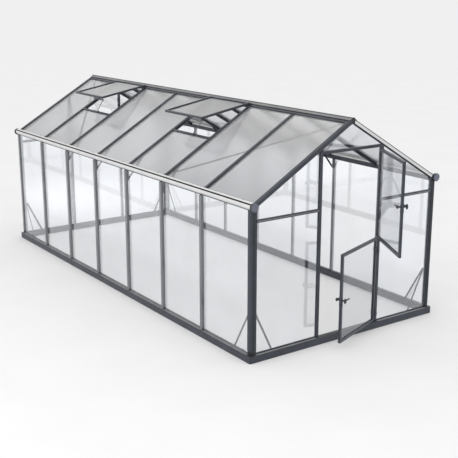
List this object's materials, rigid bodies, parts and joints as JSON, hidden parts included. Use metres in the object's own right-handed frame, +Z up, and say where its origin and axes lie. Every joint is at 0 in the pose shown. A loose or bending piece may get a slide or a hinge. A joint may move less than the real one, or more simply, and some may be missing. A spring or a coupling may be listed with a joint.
{
  "type": "glass greenhouse",
  "caption": "Freestanding gabled greenhouse with an aluminium frame, glazed walls and roof, opened roof vents, round gutters and a divided door.",
  "frame": {"origin": "on the ground, in the middle of the footprint", "axes": "X runs across the gables, Y runs along the building from the door gable at -Y to the rear gable, Z is up"},
  "size_m": [2.386, 6.0166, 2.173],
  "materials": {
    "frame": "fine-textured anthracite powder coat on aluminium",
    "gutter": "light satin coating",
    "bare_aluminium": "mill finish",
    "black_plastic": "fine-textured moulded plastic",
    "lever": "moulded nylon",
    "wall_glass": "clear float glass",
    "roof_glass": "light-diffusing glass"
  },
  "bodies": {
    "greenhouse": {"base_frame": "frame", "corner_feet": "black_plastic", "corner_posts": "frame", "eave_beam_left": "frame", "eave_beam_right": "frame", "gutter_left": "gutter", "gutter_right": "gutter", "gutter_end_caps": "frame", "ridge_beam": "frame", "ridge_end_caps": "black_plastic", "front_rafter_left": "frame", "front_rafter_right": "frame", "rear_rafter_left": "frame", "rear_rafter_right": "frame", "wall_bars_left": "frame", "wall_bars_right": "frame", "roof_bars_left": "frame", "roof_bars_right": "frame", "door_frame": "frame", "front_gable_rails": "frame", "rear_gable_bars": "frame", "knee_braces": "bare_aluminium", "roof_braces": "bare_aluminium", "base_corner_braces": "bare_aluminium", "wall_panes_left": "wall_glass", "wall_panes_right": "wall_glass", "front_gable_panes": "wall_glass", "rear_gable_panes": "wall_glass", "roof_panes_left": "roof_glass", "roof_panes_right": "roof_glass", "vent_transoms": "frame", "vent_frames": "frame", "vent_panes": "roof_glass", "vent_openers": "bare_aluminium", "door_hinges": "frame"},
    "lower_leaf": {"lower_leaf_frame": "frame", "lower_leaf_pane": "wall_glass", "lower_leaf_hinges": "frame"},
    "upper_leaf": {"upper_leaf_frame": "frame", "upper_leaf_pane": "wall_glass", "upper_leaf_hinges": "frame"},
    "lower_lever": {"lower_leaf_lever": "lever"},
    "upper_lever": {"upper_leaf_lever": "lever"}
  },
  "joints": [
    {"name": "lower_leaf_swing", "type": "hinge", "parent": "greenhouse", "child": "lower_leaf", "pos_m": [0.384, -2.664, 0.9], "axis": [0, 0, 1], "range_deg": [-20.5, 144.5]},
    {"name": "upper_leaf_swing", "type": "hinge", "parent": "greenhouse", "child": "upper_leaf", "pos_m": [0.384, -2.664, 1.4], "axis": [0, 0, 1], "range_deg": [-62.5, 102.5]},
    {"name": "lower_lever_turn", "type": "hinge", "parent": "lower_leaf", "child": "lower_lever", "pos_m": [-0.30116, -2.89882, 0.506], "axis": [-0.3502, 0.9367, 0], "range_deg": [0, 40], "stiffness_Nm_per_rad": 0.8},
    {"name": "upper_lever_turn", "type": "hinge", "parent": "upper_leaf", "child": "upper_lever", "pos_m": [0.03195, -3.29696, 1.44], "axis": [-0.887, 0.4617, 0], "range_deg": [0, 40], "stiffness_Nm_per_rad": 0.8}
  ]
}
